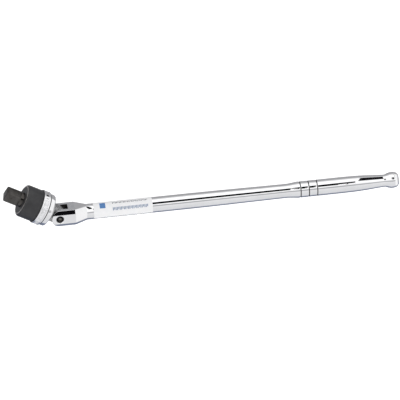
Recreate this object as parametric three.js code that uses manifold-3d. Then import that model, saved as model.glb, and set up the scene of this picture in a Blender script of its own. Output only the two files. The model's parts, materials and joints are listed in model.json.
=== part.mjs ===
// Flex-head ratcheting breaker bar, 1/2 in square drive.
// Millimetres, +Z up. The bar lies along X with its grip at +X. The hinge pin's axis is Y.
import * as THREE from 'three';
import { mergeVertices } from 'three/addons/utils/BufferGeometryUtils.js';
import { ConvexGeometry } from 'three/addons/geometries/ConvexGeometry.js';
import Module from 'manifold-3d';

const wasm = await Module();
wasm.setup();

// ---- Driving dimensions -------------------------------------------------------------------

const DEG = Math.PI / 180;
const gap = 0.3; // between pieces that touch on the real tool
const roundSteps = 36; // facets round a turned piece

const headBend = 30; // head above the bar's line, in the modelled pose

// Bar, with x counted from the hinge pin
const yoke = {
  front: -8.8, end: 17.5, halfWidth: 13.2, halfHeight: 9.3, flatHalf: 5.8, landHalf: 10.5, corner: 8.8,
};
const slot = { halfWidth: 5.75, root: 10.2 };
const shankRadius = 8.85;
const taperEnd = 31;
const shankTaper = [[150, 8.85], [173, 8.76], [196, 8.56], [221, 8.3], [259, 8]];
const grip = { start: 270.9, radius: 9.2, fullEnd: 318, neck: 370, neckRadius: 7.05 };
const grooves = { positions: [273.9, 283.5, 293.1], width: 1.2, depth: 0.5 };
const knob = { start: 377.4, end: 384.5, radius: 9.1, tip: 388, tipRadius: 5.2 };

// Hinge
const screw = { radius: 3.7, inset: 0.3, hexAcross: 4, hexDepth: 4, chamfer: 0.4 };
const pinBore = { radius: 4, rimRadius: 4.65 };
const tongue = { halfThickness: 5.6, radius: 9.2 };
const plunger = { radius: 3, length: 8, nose: 1.2, springLength: 12, springRadius: 2.5, wire: 0.9, turns: 7 };

// Head, with s counted from the hinge pin along the head
const hub = { start: 9.6, end: 11.2, radius: 11.6 };
const flange = { start: 12.6, end: 18.2, radius: 18.2 };
const spigot = { end: 30.5, radius: 15.3, hollowRadius: 12.6, hollowStart: 22.2 };
const ring = { start: 19.2, end: 27.3, radius: 19.5, rimWidth: 1.5, bandRadius: 19.2 };
const housing = {
  start: 27.6, end: 46.6, radius: 18.4, shoulder: 3, cavityRadius: 15, cavityStart: 32.2, wall: 41,
};
const plate = { start: 30.8, end: 31.8 };
const bush = { start: 41.3, end: 45.1, inner: 8.5, outer: 10 };
const gear = { start: 32.8, end: 40.6, tip: 10.2, root: 9.35, teeth: 36 };
const spindle = { tail: 27.5, tailRadius: 6, journal: 8.2, collarEnd: 50.5, collarChamfer: 0.5 };
const drive = { across: 12.7, corner: 1.1, end: 66.8, tipChamfer: 1.1, roll: 72.5 };
const dragWasher = { start: 32.1, end: 32.5, inner: 6.6, outer: 9 };

// Selector: turning the ring by this much swaps the engaged pawl
const selectorTurn = 24;
const shift = { s: 23.8, radius: 1.2, angles: [253.5, 73.5], outer: 19, inner: 9.6 };
const cam = {
  start: 22.5, end: 25.1, inner: 8, outer: 12.2, fingerInner: 10.7, fingerOuter: 12.2, fingerTip: 39.8,
};
const detent = { s: 20.4, angle: 348.5, ballRadius: 1.3, holeRadius: 1.6, holeFloor: 7, standProud: 0.35 };

// Pawls, in polar places about the head's axis
const pawl = {
  pivotRadius: 13, pivotAngle: 122, start: 32.2, end: 40.3, inner: 11, back: 13.7, nose: 66, lift: 5,
};
const pawlPin = { radius: 1.2, end: 43.2 };
const toothPlay = 0.4; // an engaged pawl's teeth stand this far off the gear's roots

// Ball that holds a socket on the square
const socketBall = { s: 60.3, radius: 2.4, proud: 0.9, holeRadius: 2.75, holeFloor: -3.6, wire: 0.6, turns: 5 };

// Label wrapped round the shank
const label = { start: 38.5, end: 104.8, middle: 160, lift: 0.08, thickness: 0.14, steps: 24 };

// ---- Geometry helpers ---------------------------------------------------------------------

function solid(geometry) {
  const bare = geometry.clone();
  for (const name of Object.keys(bare.attributes)) if (name !== 'position') bare.deleteAttribute(name);
  const merged = mergeVertices(bare, 1e-4);
  const at = merged.attributes.position;
  const index = merged.index.array;
  const kept = [];
  let volume = 0;
  const [a, b, c] = [new THREE.Vector3(), new THREE.Vector3(), new THREE.Vector3()];
  for (let i = 0; i < index.length; i += 3) {
    const [p, q, r] = [index[i], index[i + 1], index[i + 2]];
    if (p === q || q === r || r === p) continue;
    kept.push(p, q, r);
    volume += a.fromBufferAttribute(at, p).dot(b.fromBufferAttribute(at, q).cross(c.fromBufferAttribute(at, r)));
  }
  if (volume < 0) kept.reverse();
  const mesh = new wasm.Mesh({
    numProp: 3,
    vertProperties: new Float32Array(at.array),
    triVerts: new Uint32Array(kept),
  });
  return new wasm.Manifold(mesh);
}

function geometryOf(shape) {
  const mesh = shape.getMesh();
  const geometry = new THREE.BufferGeometry();
  geometry.setAttribute('position', new THREE.BufferAttribute(new Float32Array(mesh.vertProperties), 3));
  geometry.setIndex(new THREE.BufferAttribute(new Uint32Array(mesh.triVerts), 1));
  geometry.computeVertexNormals();
  return geometry;
}

// A profile of [x, radius] pairs, turned about X
function turned(profile, steps = roundSteps) {
  const points = profile.map(([x, radius]) => new THREE.Vector2(radius, x));
  return solid(new THREE.LatheGeometry(points, steps).rotateZ(-Math.PI / 2));
}

// A tube or washer about X
const sleeve = (x0, x1, inner, outer, steps = roundSteps) =>
  turned([[x0, inner], [x0, outer], [x1, outer], [x1, inner], [x0, inner]], steps);

// A plain round bar about X
const rod = (x0, x1, radius, steps = roundSteps) => turned([[x0, 0], [x0, radius], [x1, radius], [x1, 0]], steps);

// A round bar that stands out radially from X, at polar angle `angle` (0 is +Y, 90 is +Z)
function radialRod(s, angle, inner, outer, radius, steps = 20) {
  const geometry = new THREE.CylinderGeometry(radius, radius, outer - inner, steps);
  geometry.translate(0, (inner + outer) / 2, 0);
  return solid(geometry.rotateX(angle * DEG).translate(s, 0, 0));
}

// An outline in (y, z), pulled along X from x0 to x1
function prismX(shape, x0, x1, curveSegments = 8) {
  const geometry = new THREE.ExtrudeGeometry(shape, { depth: x1 - x0, bevelEnabled: false, curveSegments });
  const turn = new THREE.Matrix4().makeBasis(
    new THREE.Vector3(0, 1, 0), new THREE.Vector3(0, 0, 1), new THREE.Vector3(1, 0, 0));
  return solid(geometry.applyMatrix4(turn).translate(x0, 0, 0));
}

// An outline in (x, z), pulled along Y to both sides of zero
function prismY(shape, halfWidth, curveSegments = 8) {
  const geometry = new THREE.ExtrudeGeometry(shape, { depth: 2 * halfWidth, bevelEnabled: false, curveSegments });
  return solid(geometry.rotateX(Math.PI / 2).translate(0, halfWidth, 0));
}

function box(x0, x1, y0, y1, z0, z1) {
  const geometry = new THREE.BoxGeometry(x1 - x0, y1 - y0, z1 - z0);
  return solid(geometry.translate((x0 + x1) / 2, (y0 + y1) / 2, (z0 + z1) / 2));
}

const polar = (radius, angle) => new THREE.Vector2(radius * Math.cos(angle * DEG), radius * Math.sin(angle * DEG));
const shapeOf = (points) => new THREE.Shape(points);

// A sector of a ring between two polar angles
function ringSector(inner, outer, from, to, stepAngle = 6) {
  const steps = Math.max(1, Math.ceil(Math.abs(to - from) / stepAngle));
  const angles = Array.from({ length: steps + 1 }, (_, i) => from + ((to - from) * i) / steps);
  return shapeOf([
    ...angles.map((angle) => polar(outer, angle)),
    ...angles.reverse().map((angle) => polar(inner, angle)),
  ]);
}

function roundedSquare(across, corner) {
  const half = across / 2;
  const shape = new THREE.Shape();
  shape.moveTo(half, corner - half);
  shape.lineTo(half, half - corner);
  shape.absarc(half - corner, half - corner, corner, 0, Math.PI / 2);
  shape.lineTo(corner - half, half);
  shape.absarc(corner - half, half - corner, corner, Math.PI / 2, Math.PI);
  shape.lineTo(-half, corner - half);
  shape.absarc(corner - half, corner - half, corner, Math.PI, Math.PI * 1.5);
  shape.lineTo(half - corner, -half);
  shape.absarc(half - corner, corner - half, corner, Math.PI * 1.5, Math.PI * 2);
  return shape;
}

class Helix extends THREE.Curve {
  constructor(radius, length, turns) {
    super();
    Object.assign(this, { radius, length, turns });
  }
  getPoint(t, target = new THREE.Vector3()) {
    const angle = t * this.turns * Math.PI * 2;
    return target.set(this.length * t, this.radius * Math.cos(angle), this.radius * Math.sin(angle));
  }
}

// A coil spring along X whose wire reaches from x = 0 to x = length
function coilSpring(outerRadius, length, wire, turns) {
  const path = new Helix(outerRadius - wire / 2, length - wire, turns);
  const section = shapeOf(Array.from({ length: 5 }, (_, i) => polar(wire / 2, i * 72)));
  const geometry = new THREE.ExtrudeGeometry(section, { steps: turns * 8, extrudePath: path, bevelEnabled: false });
  return solid(geometry.translate(wire / 2, 0, 0));
}

// Stands something built along +X out radially, at polar angle `angle`, from radius `inner`
function standRadially(shape, s, angle, inner) {
  return shape.rotate([0, 0, 90]).translate([0, inner, 0]).rotate([angle, 0, 0]).translate([s, 0, 0]);
}

const ball = (radius) => solid(new THREE.SphereGeometry(radius, 14, 9));

// ---- Materials ----------------------------------------------------------------------------

const steel = (color, roughness, metalness = 1) => new THREE.MeshStandardMaterial({ color, roughness, metalness });
const chrome = () => steel(0xd9dde2, 0.08);
const blackOxide = () => steel(0x1c1d20, 0.42, 0.6);
const satinBlack = () => steel(0x35373b, 0.4, 0.3);
const toolSteel = () => steel(0x77716b, 0.32);
const springSteel = () => steel(0x8a8d92, 0.3);
const bronze = () => steel(0xa9793f, 0.38);
const rubber = () => new THREE.MeshStandardMaterial({ color: 0x151515, roughness: 0.8, metalness: 0 });
const film = () => new THREE.MeshStandardMaterial({ color: 0xe9edf3, roughness: 0.35, metalness: 0 });

function piece(name, shape, material) {
  const mesh = new THREE.Mesh(geometryOf(shape), material);
  mesh.name = name;
  return mesh;
}

// ---- Bar ----------------------------------------------------------------------------------

const yokeSection = [
  [yoke.halfWidth, yoke.flatHalf], [yoke.landHalf, yoke.halfHeight],
  [-yoke.landHalf, yoke.halfHeight], [-yoke.halfWidth, yoke.flatHalf],
  [-yoke.halfWidth, -yoke.flatHalf], [-yoke.landHalf, -yoke.halfHeight],
  [yoke.landHalf, -yoke.halfHeight], [yoke.halfWidth, -yoke.flatHalf],
];

// The yoke's side outline: square at the back, with rounded corners at the front
function yokeOutline() {
  const { front, corner, halfHeight } = yoke;
  const shape = new THREE.Shape();
  shape.moveTo(taperEnd, halfHeight + 1);
  shape.lineTo(0, halfHeight + 1);
  shape.lineTo(0, halfHeight);
  shape.lineTo(front + corner, halfHeight);
  shape.absarc(front + corner, halfHeight - corner, corner, Math.PI / 2, Math.PI);
  shape.lineTo(front, corner - halfHeight);
  shape.absarc(front + corner, corner - halfHeight, corner, Math.PI, Math.PI * 1.5);
  shape.lineTo(0, -halfHeight);
  shape.lineTo(0, -halfHeight - 1);
  shape.lineTo(taperEnd, -halfHeight - 1);
  return shape;
}

// Octagonal where the yoke ends, round where the shank starts
function taper() {
  const points = yokeSection.map(([y, z]) => new THREE.Vector3(yoke.end, y, z));
  for (let i = 0; i < roundSteps; i++) {
    const place = polar(shankRadius, (i * 360) / roundSteps);
    points.push(new THREE.Vector3(taperEnd, place.x, place.y));
  }
  return solid(new ConvexGeometry(points));
}

function grooveProfile(position) {
  const half = grooves.width / 2;
  const floor = grip.radius - grooves.depth;
  return [[position - half, grip.radius], [position - half / 2, floor],
    [position + half / 2, floor], [position + half, grip.radius]];
}

function shank() {
  const waist = new THREE.CubicBezierCurve(
    new THREE.Vector2(grip.fullEnd, grip.radius), new THREE.Vector2(350, grip.radius),
    new THREE.Vector2(354, grip.neckRadius + 0.85), new THREE.Vector2(grip.neck, grip.neckRadius));
  const tip = new THREE.CubicBezierCurve(
    new THREE.Vector2(knob.end - 1, knob.radius), new THREE.Vector2(knob.tip - 1.6, knob.radius),
    new THREE.Vector2(knob.tip, knob.tipRadius + 2), new THREE.Vector2(knob.tip, knob.tipRadius));
  const pairs = (curve, divisions) => curve.getPoints(divisions).map((point) => [point.x, point.y]);
  return turned([
    [taperEnd - 6, 0], [taperEnd - 6, shankRadius], ...shankTaper, [grip.start - 9, 8.2],
    [grip.start, grip.radius], ...grooves.positions.flatMap(grooveProfile),
    ...pairs(waist, 6), [knob.start - 4, grip.neckRadius], [knob.start, knob.radius - 0.5],
    [knob.start + 1.5, knob.radius], ...pairs(tip, 5), [knob.tip, 0],
  ]);
}

function pinHole(radius, halfLength) {
  return solid(new THREE.CylinderGeometry(radius, radius, 2 * halfLength, 32));
}

function pinHoleRims() {
  const depth = pinBore.rimRadius - pinBore.radius;
  const rim = (side) => {
    const wide = pinBore.rimRadius + 0.5;
    const narrow = pinBore.radius;
    const [plus, minus] = side > 0 ? [wide, narrow] : [narrow, wide];
    const geometry = new THREE.CylinderGeometry(plus, minus, depth + 0.5, 32);
    return solid(geometry.translate(0, side * (yoke.halfWidth + 0.5 - (depth + 0.5) / 2), 0));
  };
  return rim(1).add(rim(-1));
}

const plungerBoreEnd = slot.root + plunger.length + plunger.springLength + 2 * gap;

function handleBar() {
  const prism = prismX(shapeOf(yokeSection.map(([y, z]) => new THREE.Vector2(y, z))), yoke.front, yoke.end);
  const rounded = prism.add(taper()).intersect(prismY(yokeOutline(), yoke.halfWidth + 1));
  const slotCut = box(yoke.front - 1, slot.root, -slot.halfWidth, slot.halfWidth, -12, 12);
  return rounded.add(shank())
    .subtract(slotCut)
    .subtract(pinHole(pinBore.radius, yoke.halfWidth + 1))
    .subtract(pinHoleRims())
    .subtract(rod(slot.root - 1, plungerBoreEnd, plunger.radius + gap, 24));
}

function hingeScrew() {
  const half = yoke.halfWidth - screw.inset;
  const body = turned([
    [-half, 0], [-half, screw.radius - screw.chamfer], [-half + screw.chamfer, screw.radius],
    [half - screw.chamfer, screw.radius], [half, screw.radius - screw.chamfer], [half, 0],
  ], 32);
  const hexRadius = screw.hexAcross / 2 / Math.cos(30 * DEG);
  return body.subtract(rod(-half - 1, -half + screw.hexDepth, hexRadius, 6)).rotate([0, 0, 90]);
}

function tonguePlunger() {
  const start = tongue.radius + gap;
  return turned([
    [start, 0], [start, plunger.radius - plunger.nose], [start + plunger.nose, plunger.radius],
    [start + plunger.length, plunger.radius], [start + plunger.length, 0],
  ], 24);
}

function plungerSpring() {
  const start = tongue.radius + gap + plunger.length + gap;
  return coilSpring(plunger.springRadius, plunger.springLength - 2 * gap, plunger.wire, plunger.turns)
    .translate([start, 0, 0]);
}

// A film round the side of the shank that faces -Y and up
function shankLabel() {
  const inner = shankRadius + label.lift;
  const step = 360 / roundSteps;
  const first = label.middle - (label.steps / 2) * step;
  const start = Math.round(first / step) * step;
  const section = ringSector(inner, inner + label.thickness, start, start + label.steps * step, step);
  return prismX(section, label.start, label.end);
}

const bar = new THREE.Group();
bar.add(
  piece('handle_bar', handleBar(), chrome()),
  piece('hinge_screw', hingeScrew(), blackOxide()),
  piece('tongue_plunger', tonguePlunger(), toolSteel()),
  piece('plunger_spring', plungerSpring(), springSteel()),
  piece('shank_label', shankLabel(), film()),
);

// ---- Head: everything here is built along +X, the head's own axis, from the hinge pin ------

function tongueOutline() {
  const { radius } = tongue;
  const shape = new THREE.Shape();
  shape.moveTo(0, -radius);
  shape.lineTo(flange.start, -radius);
  shape.lineTo(flange.start, radius);
  shape.lineTo(0, radius);
  shape.absarc(0, 0, radius, Math.PI / 2, Math.PI * 1.5);
  return shape;
}

function detentHole() {
  return radialRod(detent.s, detent.angle, detent.holeFloor, spigot.radius + 1, detent.holeRadius);
}

// Slots in the spigot's wall for the shift pins
function shiftSlots() {
  const half = shift.radius + gap;
  const reach = (half / spigot.hollowRadius / DEG);
  const slots = shift.angles.map((angle) => {
    const sector = ringSector(spigot.hollowRadius - 1, spigot.radius + 1, angle - reach, angle + selectorTurn + reach);
    return prismX(sector, shift.s - half, shift.s + half);
  });
  return slots[0].add(slots[1]);
}

function hingeHead() {
  const round = turned([
    [hub.start, 0], [hub.start, hub.radius - 0.6], [hub.start + 0.6, hub.radius],
    [hub.end, hub.radius], [hub.end + 0.9, hub.radius + 0.9], [flange.start, hub.radius + 3.4],
    [flange.start + 0.2, flange.radius - 1.2], [flange.start + 0.8, flange.radius - 0.3],
    [flange.start + 1.7, flange.radius],
    [flange.end - 0.4, flange.radius], [flange.end, flange.radius - 0.4],
    [flange.end, spigot.radius], [spigot.end, spigot.radius], [spigot.end, spigot.hollowRadius],
    [spigot.hollowStart, spigot.hollowRadius], [spigot.hollowStart, 0],
  ]);
  return round.add(prismY(tongueOutline(), tongue.halfThickness))
    .subtract(pinHole(pinBore.radius, tongue.halfThickness + 1))
    .subtract(detentHole())
    .subtract(shiftSlots());
}

function ringSeal() {
  return sleeve(flange.end + gap, ring.start - gap, spigot.radius + gap, flange.radius - 0.6);
}

function ratchetHousing() {
  const { start, end, radius, shoulder, cavityRadius, cavityStart, wall } = housing;
  const corner = Array.from({ length: 6 }, (_, i) => polar(shoulder, 90 - i * 18));
  const bore = bush.outer + gap;
  const lip = spindle.journal + gap;
  const threadRadius = spigot.radius + gap;
  return turned([
    [start, threadRadius], [start, radius - 0.4], [start + 0.4, radius],
    ...corner.map((point) => [end - shoulder + point.x, radius - shoulder + point.y]),
    [end, lip], [bush.end + gap, lip], [bush.end + gap, bore], [wall, bore], [wall, cavityRadius],
    [cavityStart, cavityRadius], [cavityStart, threadRadius], [start, threadRadius],
  ]).subtract(pawlPinHoles(wall - 1, pawlPin.end + gap));
}

function pawlPinHoles(x0, x1) {
  const hole = (side) => {
    const place = polar(pawl.pivotRadius, side * pawl.pivotAngle);
    return rod(x0, x1, pawlPin.radius + gap, 16).translate([0, place.x, place.y]);
  };
  return hole(1).add(hole(-1));
}

function pawlPinShape(side) {
  const place = polar(pawl.pivotRadius, side * pawl.pivotAngle);
  return rod(plate.start + 0.1, pawlPin.end, pawlPin.radius, 16).translate([0, place.x, place.y]);
}

// Finger angles with the forward pawl engaged; the ring carries both round by selectorTurn
const fingerHalf = 3.5;
const fingerAngles = [pawl.nose - 14, -pawl.nose - 10];

function pawlPlate() {
  const fingerSlots = fingerAngles.map((angle) => {
    const sector = ringSector(cam.fingerInner - gap, cam.fingerOuter + gap,
      angle - fingerHalf - 2, angle + selectorTurn + fingerHalf + 2);
    return prismX(sector, plate.start - 1, plate.end + 1);
  });
  return sleeve(plate.start, plate.end, spindle.tailRadius + gap, spigot.radius)
    .subtract(fingerSlots[0])
    .subtract(fingerSlots[1])
    .subtract(pawlPinHoles(plate.start - 1, plate.end + 1));
}

function detentSpring() {
  const ballBack = spigot.radius + detent.standProud - 2 * detent.ballRadius;
  const length = ballBack - gap - detent.holeFloor - gap;
  return standRadially(coilSpring(1.4, length, 0.45, 4), detent.s, detent.angle, detent.holeFloor + gap);
}

function detentBall() {
  const centre = spigot.radius + detent.standProud - detent.ballRadius;
  return standRadially(ball(detent.ballRadius), detent.s, detent.angle, centre);
}

// ---- Selector ------------------------------------------------------------------------------

// A notch in the ring's bore; its two ends stop the ring against the detent ball
function detentGroove() {
  const reach = (detent.ballRadius + gap) / spigot.radius / DEG;
  const [from, to] = [detent.angle - selectorTurn - reach, detent.angle + reach];
  const sector = ringSector(spigot.radius - 1, spigot.radius + detent.standProud + gap + 0.25, from, to);
  return prismX(sector, ring.start - 1, detent.s + detent.ballRadius + gap);
}

function selectorRing() {
  const { start, end, radius, rimWidth, bandRadius } = ring;
  const bore = spigot.radius + gap;
  let shape = turned([
    [start, bore], [start, radius - 0.5], [start + 0.5, radius], [start + rimWidth, radius],
    [start + rimWidth + 0.3, bandRadius], [end - rimWidth - 0.3, bandRadius], [end - rimWidth, radius],
    [end - 0.5, radius], [end, radius - 0.5], [end, bore], [start, bore],
  ], 48).subtract(detentGroove());
  for (const angle of shift.angles) {
    shape = shape.subtract(radialRod(shift.s, angle, bore - 1, radius + 1, shift.radius + gap));
  }
  return shape;
}

const shiftPin = (angle) => radialRod(shift.s, angle, shift.inner, shift.outer, shift.radius);

function selectorCam() {
  let shape = sleeve(cam.start, cam.end, cam.inner, cam.outer);
  for (const angle of fingerAngles) {
    const sector = ringSector(cam.fingerInner, cam.fingerOuter, angle - fingerHalf, angle + fingerHalf, 3.5);
    shape = shape.add(prismX(sector, cam.end - 1, cam.fingerTip));
  }
  for (const angle of shift.angles) {
    shape = shape.subtract(radialRod(shift.s, angle, shift.inner - gap, cam.outer + 1, shift.radius + gap));
  }
  return shape;
}

// ---- Pawls -----------------------------------------------------------------------------------

// The forward pawl, engaged: its teeth stand in the gear's spaces
function engagedPawl() {
  const pitch = 360 / gear.teeth;
  const { inner, back, nose, pivotAngle, pivotRadius } = pawl;
  const spaceAngles = [9.5, 8.5].map((spaces) => spaces * pitch);
  const teeth = spaceAngles.map((middle) => shapeOf([
    polar(inner + 0.3, middle + pitch / 2 - 0.4), polar(gear.tip + toothPlay, middle + pitch / 2 - 0.4),
    polar(gear.root + toothPlay, middle), polar(gear.tip + toothPlay, middle - pitch / 2 + 0.4),
    polar(inner + 0.3, middle - pitch / 2 + 0.4),
  ]));
  const arm = shapeOf([
    ...[nose, nose + 14, nose + 28, nose + 42, pivotAngle].map((angle) => polar(back, angle)),
    ...[pivotAngle, nose + 42, nose + 28, nose + 16].map((angle) => polar(inner, angle)),
    polar(inner + 0.9, nose + 15.5), polar(inner + 0.9, nose + 8), polar(inner + 1.6, nose),
  ]);
  const pivot = polar(pivotRadius, pivotAngle);
  let shape = prismX(arm, pawl.start, pawl.end).add(
    rod(pawl.start, pawl.end, 1.95, 20).translate([0, pivot.x, pivot.y]));
  for (const tooth of teeth) shape = shape.add(prismX(tooth, pawl.start, pawl.end));
  const springPocket = radialRod(pawlSpringPlace.s, pawlSpringPlace.angle, pawlSpringPlace.floor, back + 2, 1.3, 16);
  const hole = rod(pawl.start - 1, pawl.end + 1, pawlPin.radius + gap, 16).translate([0, pivot.x, pivot.y]);
  return shape.subtract(hole).subtract(springPocket);
}

const pawlSpringPlace = { s: 36.2, angle: pawl.nose + 24, floor: 12.1 };

// The reverse pawl is the forward one mirrored, and the cam's finger holds it off the gear
const pawlPivot = polar(pawl.pivotRadius, pawl.pivotAngle);
const rock = (shape, angle, pivot) =>
  shape.translate([0, -pivot.x, -pivot.y]).rotate([angle, 0, 0]).translate([0, pivot.x, pivot.y]);

function forwardPawl() {
  return engagedPawl();
}

function reversePawl() {
  const mirrored = engagedPawl().mirror([0, 0, 1]);
  return rock(mirrored, -pawl.lift, { x: pawlPivot.x, y: -pawlPivot.y });
}

function pawlSpring(side, squeeze) {
  const outer = housing.cavityRadius - gap;
  const inner = pawlSpringPlace.floor + gap + squeeze;
  const spring = coilSpring(0.95, outer - inner, 0.35, 4);
  return standRadially(spring, pawlSpringPlace.s, side * pawlSpringPlace.angle, inner);
}

// ---- Drive -----------------------------------------------------------------------------------

function gearRing() {
  const pitch = 360 / gear.teeth;
  const points = Array.from({ length: gear.teeth }, (_, i) => [
    polar(gear.root, (i + 0.5) * pitch), polar(gear.tip, (i + 0.9) * pitch), polar(gear.tip, (i + 1.1) * pitch),
  ]).flat();
  return prismX(shapeOf(points), gear.start, gear.end);
}

const ballAngle = drive.roll + 270; // the square's face that holds the ball

function driveSpindle() {
  const { tail, tailRadius, journal, collarEnd, collarChamfer } = spindle;
  const round = turned([
    [tail, 0], [tail, tailRadius - 0.5], [tail + 0.5, tailRadius], [gear.start + 1, tailRadius],
    [gear.start + 1, journal], [collarEnd - collarChamfer, journal], [collarEnd, journal - collarChamfer], [collarEnd, 0],
  ]);
  const square = prismX(roundedSquare(drive.across, drive.corner), collarEnd - 2, drive.end)
    .rotate([drive.roll, 0, 0]);
  const reach = drive.across / 2 * Math.SQRT2 - drive.corner * (Math.SQRT2 - 1);
  const tipCone = turned([
    [collarEnd - 3, 0], [collarEnd - 3, reach + 1], [drive.end - drive.tipChamfer - 1, reach + 1],
    [drive.end - drive.tipChamfer, reach], [drive.end, reach - 2.2], [drive.end, 0],
  ]);
  const ballHole = radialRod(socketBall.s, ballAngle, socketBall.holeFloor, drive.across, socketBall.holeRadius, 24);
  return round.add(square.intersect(tipCone)).add(gearRing()).subtract(ballHole);
}

const ballCentre = drive.across / 2 + socketBall.proud - socketBall.radius;

function socketBallShape() {
  return standRadially(ball(socketBall.radius), socketBall.s, ballAngle, ballCentre);
}

function socketBallSpring() {
  const inner = socketBall.holeFloor + gap;
  const length = ballCentre - socketBall.radius - gap - inner;
  return standRadially(coilSpring(2.3, length, socketBall.wire, socketBall.turns), socketBall.s, ballAngle, inner);
}

const head = new THREE.Group();
head.rotation.y = Math.PI + headBend * DEG;
head.add(
  piece('hinge_head', hingeHead(), chrome()),
  piece('ring_seal', ringSeal(), rubber()),
  piece('ratchet_housing', ratchetHousing(), satinBlack()),
  piece('spindle_bush', sleeve(bush.start, bush.end, bush.inner, bush.outer), bronze()),
  piece('pawl_plate', pawlPlate(), toolSteel()),
  piece('drag_washer', sleeve(dragWasher.start, dragWasher.end, dragWasher.inner, dragWasher.outer), springSteel()),
  piece('forward_pawl_pin', pawlPinShape(1), toolSteel()),
  piece('reverse_pawl_pin', pawlPinShape(-1), toolSteel()),
  piece('forward_pawl', forwardPawl(), toolSteel()),
  piece('reverse_pawl', reversePawl(), toolSteel()),
  piece('forward_pawl_spring', pawlSpring(1, 0), springSteel()),
  piece('reverse_pawl_spring', pawlSpring(-1, 0.8), springSteel()),
  piece('detent_spring', detentSpring(), springSteel()),
  piece('detent_ball', detentBall(), toolSteel()),
  piece('selector_ring', selectorRing(), chrome()),
  piece('selector_cam', selectorCam(), toolSteel()),
  piece('shift_pin_1', shiftPin(shift.angles[0]), blackOxide()),
  piece('shift_pin_2', shiftPin(shift.angles[1]), blackOxide()),
  piece('drive_spindle', driveSpindle(), toolSteel()),
  piece('socket_ball', socketBallShape(), chrome()),
  piece('socket_ball_spring', socketBallSpring(), springSteel()),
);

// ---- Assembly: stands on its underside, with the origin under the middle of its box ---------

const breakerBar = new THREE.Group();
breakerBar.add(bar, head);
breakerBar.updateMatrixWorld(true);
const bounds = new THREE.Box3().setFromObject(breakerBar, true);
breakerBar.position.set(-(bounds.min.x + bounds.max.x) / 2, -(bounds.min.y + bounds.max.y) / 2, -bounds.min.z);

export default breakerBar;
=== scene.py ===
"""The looks of a flex-head ratcheting breaker bar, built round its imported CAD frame."""

import json
import math

import bmesh
import bpy
from mathutils import Matrix, Vector


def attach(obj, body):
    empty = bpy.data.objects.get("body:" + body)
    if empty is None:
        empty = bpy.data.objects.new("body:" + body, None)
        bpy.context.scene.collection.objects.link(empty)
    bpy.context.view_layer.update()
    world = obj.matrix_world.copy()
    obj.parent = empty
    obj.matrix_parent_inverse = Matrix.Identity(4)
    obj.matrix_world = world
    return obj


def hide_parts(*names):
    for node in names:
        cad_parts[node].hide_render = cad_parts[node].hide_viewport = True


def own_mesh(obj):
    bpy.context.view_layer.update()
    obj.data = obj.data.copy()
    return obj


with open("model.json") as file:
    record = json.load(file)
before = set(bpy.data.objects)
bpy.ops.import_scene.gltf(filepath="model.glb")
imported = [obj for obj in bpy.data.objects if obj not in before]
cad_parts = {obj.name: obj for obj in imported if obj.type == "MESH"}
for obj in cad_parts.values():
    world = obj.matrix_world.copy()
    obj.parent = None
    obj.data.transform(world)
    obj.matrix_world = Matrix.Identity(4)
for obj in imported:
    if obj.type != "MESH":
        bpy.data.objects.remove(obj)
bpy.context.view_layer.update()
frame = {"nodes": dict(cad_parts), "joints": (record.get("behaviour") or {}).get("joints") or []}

# ---- Places: meshes are made in millimetres, then set in the row frame --------------------

MM = 0.001
joints = {joint["name"]: joint for joint in frame["joints"]}
pin = Vector(joints["head_hinge"]["pos_m"])


def frame_along(direction):
    """A millimetre frame at the hinge pin whose X runs along direction and whose Y is the pin."""
    x = Vector(direction).normalized()
    y = Vector((0, 1, 0))
    turn = Matrix((x, y, x.cross(y))).transposed().to_4x4()
    return Matrix.Translation(pin) @ turn @ Matrix.Scale(MM, 4)


BAR = frame_along((1, 0, 0))
HEAD = frame_along(joints["drive_spin"]["axis"])

# ---- Mesh helpers -------------------------------------------------------------------------


def new_object(name, vertices, faces):
    mesh = bpy.data.meshes.new(name)
    mesh.from_pydata(vertices, [], faces)
    obj = bpy.data.objects.new(name, mesh)
    bpy.context.scene.collection.objects.link(obj)
    edit = bmesh.new()
    edit.from_mesh(mesh)
    bmesh.ops.recalc_face_normals(edit, faces=edit.faces)
    edit.to_mesh(mesh)
    edit.free()
    return obj


def from_rings(name, rings, loop=False):
    """A skin over rings of points. A ring of one point is a pole, and loop joins last to first."""
    vertices, faces, starts = [], [], []
    for ring in rings:
        starts.append(len(vertices))
        vertices.extend(ring)
    pairs = list(zip(range(len(rings)), range(1, len(rings))))
    if loop:
        pairs.append((len(rings) - 1, 0))
    for a, b in pairs:
        count = max(len(rings[a]), len(rings[b]))
        for i in range(count):
            j = (i + 1) % count
            if len(rings[a]) == 1:
                faces.append((starts[a], starts[b] + j, starts[b] + i))
            elif len(rings[b]) == 1:
                faces.append((starts[a] + i, starts[a] + j, starts[b]))
            else:
                faces.append((starts[a] + i, starts[a] + j, starts[b] + j, starts[b] + i))
    for end in () if loop else (0, len(rings) - 1):
        if len(rings[end]) > 1:
            faces.append([starts[end] + i for i in range(len(rings[end]))])
    return new_object(name, vertices, faces)


def polar(radius, angle):
    return radius * math.cos(math.radians(angle)), radius * math.sin(math.radians(angle))


def circle(x, radius, steps):
    """A ring round X; its points start at +Y and go towards +Z."""
    if radius < 1e-6:
        return [(x, 0, 0)]
    return [(x, *polar(radius, 360 * i / steps)) for i in range(steps)]


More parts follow.
